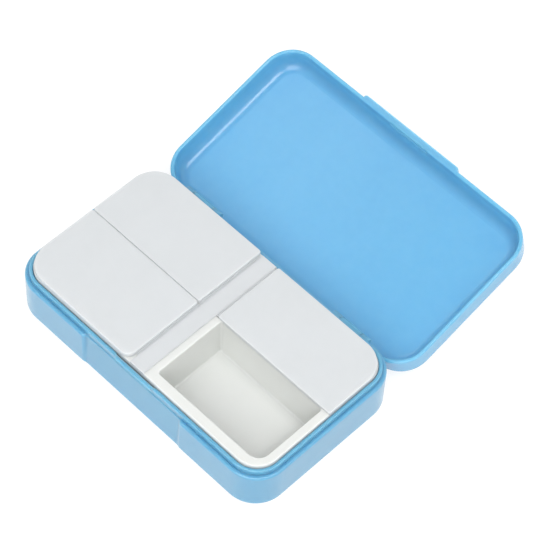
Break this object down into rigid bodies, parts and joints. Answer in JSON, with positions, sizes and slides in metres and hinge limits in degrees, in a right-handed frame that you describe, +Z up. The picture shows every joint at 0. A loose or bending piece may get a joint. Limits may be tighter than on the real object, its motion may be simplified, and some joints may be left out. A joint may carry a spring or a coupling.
{
  "type": "pill splitter",
  "caption": "Pocket tablet case with a hinged lid and a lift-out tray; one flap over the tray carries a cutting blade above a V-shaped holder.",
  "frame": {"origin": "centre of the base's underside", "axes": "+X along the case's long side towards the cutter, +Y towards the lid's hinge, +Z up; the lid stands open at rest and the flaps are shut"},
  "size_m": [0.085, 0.0969, 0.022],
  "materials": {
    "case_plastic": "semi-gloss moulded polypropylene, sky blue",
    "lid_plastic": "semi-gloss moulded polypropylene, sky blue",
    "tray_plastic": "satin moulded plastic, white",
    "strip_plastic": "satin moulded polypropylene, white",
    "web_plastic": "thin flexed polypropylene, white",
    "flap_plastic": "satin moulded polypropylene, white",
    "clamp_plastic": "satin moulded plastic, white",
    "holder_plastic": "satin moulded plastic, white",
    "pad_rubber": "soft matt silicone, light grey",
    "blade_steel": "ground stainless strip with polished bevels",
    "rivet_steel": "bright stainless",
    "pin_steel": "bright drawn stainless"
  },
  "bodies": {
    "base": {"base_shell": "case_plastic", "hinge_pin_left": "pin_steel", "hinge_pin_right": "pin_steel"},
    "lid": {"lid_shell": "lid_plastic"},
    "tray": {"insert_tray": "tray_plastic", "hinge_strip": "strip_plastic", "left_front_web": "web_plastic", "left_back_web": "web_plastic", "cutter_web": "web_plastic", "tablet_holder": "holder_plastic", "grip_pad": "pad_rubber"},
    "left_front_flap": {"left_front_flap": "flap_plastic"},
    "left_back_flap": {"left_back_flap": "flap_plastic"},
    "cutter_flap": {"cutter_flap": "flap_plastic", "blade": "blade_steel", "blade_clamp": "clamp_plastic", "blade_rivets": "rivet_steel"}
  },
  "joints": [
    {"name": "lid_hinge", "type": "hinge", "parent": "base", "child": "lid", "pos_m": [0, 0.02407, 0.01022], "axis": [1, 0, 0], "range_deg": [0, 164]},
    {"name": "tray_lift", "type": "slide", "parent": "base", "child": "tray", "axis": [0, 0, -1], "range_m": [-0.012, 0]},
    {"name": "left_front_flap_hinge", "type": "hinge", "parent": "tray", "child": "left_front_flap", "pos_m": [-0.00275, 0, 0.01442], "axis": [0, -1, 0], "range_deg": [-90, 0]},
    {"name": "left_back_flap_hinge", "type": "hinge", "parent": "tray", "child": "left_back_flap", "pos_m": [-0.00275, 0, 0.01442], "axis": [0, -1, 0], "range_deg": [-90, 0]},
    {"name": "cutter_flap_hinge", "type": "hinge", "parent": "tray", "child": "cutter_flap", "pos_m": [0.00275, 0, 0.01442], "axis": [0, 1, 0], "range_deg": [-90, 0]}
  ]
}
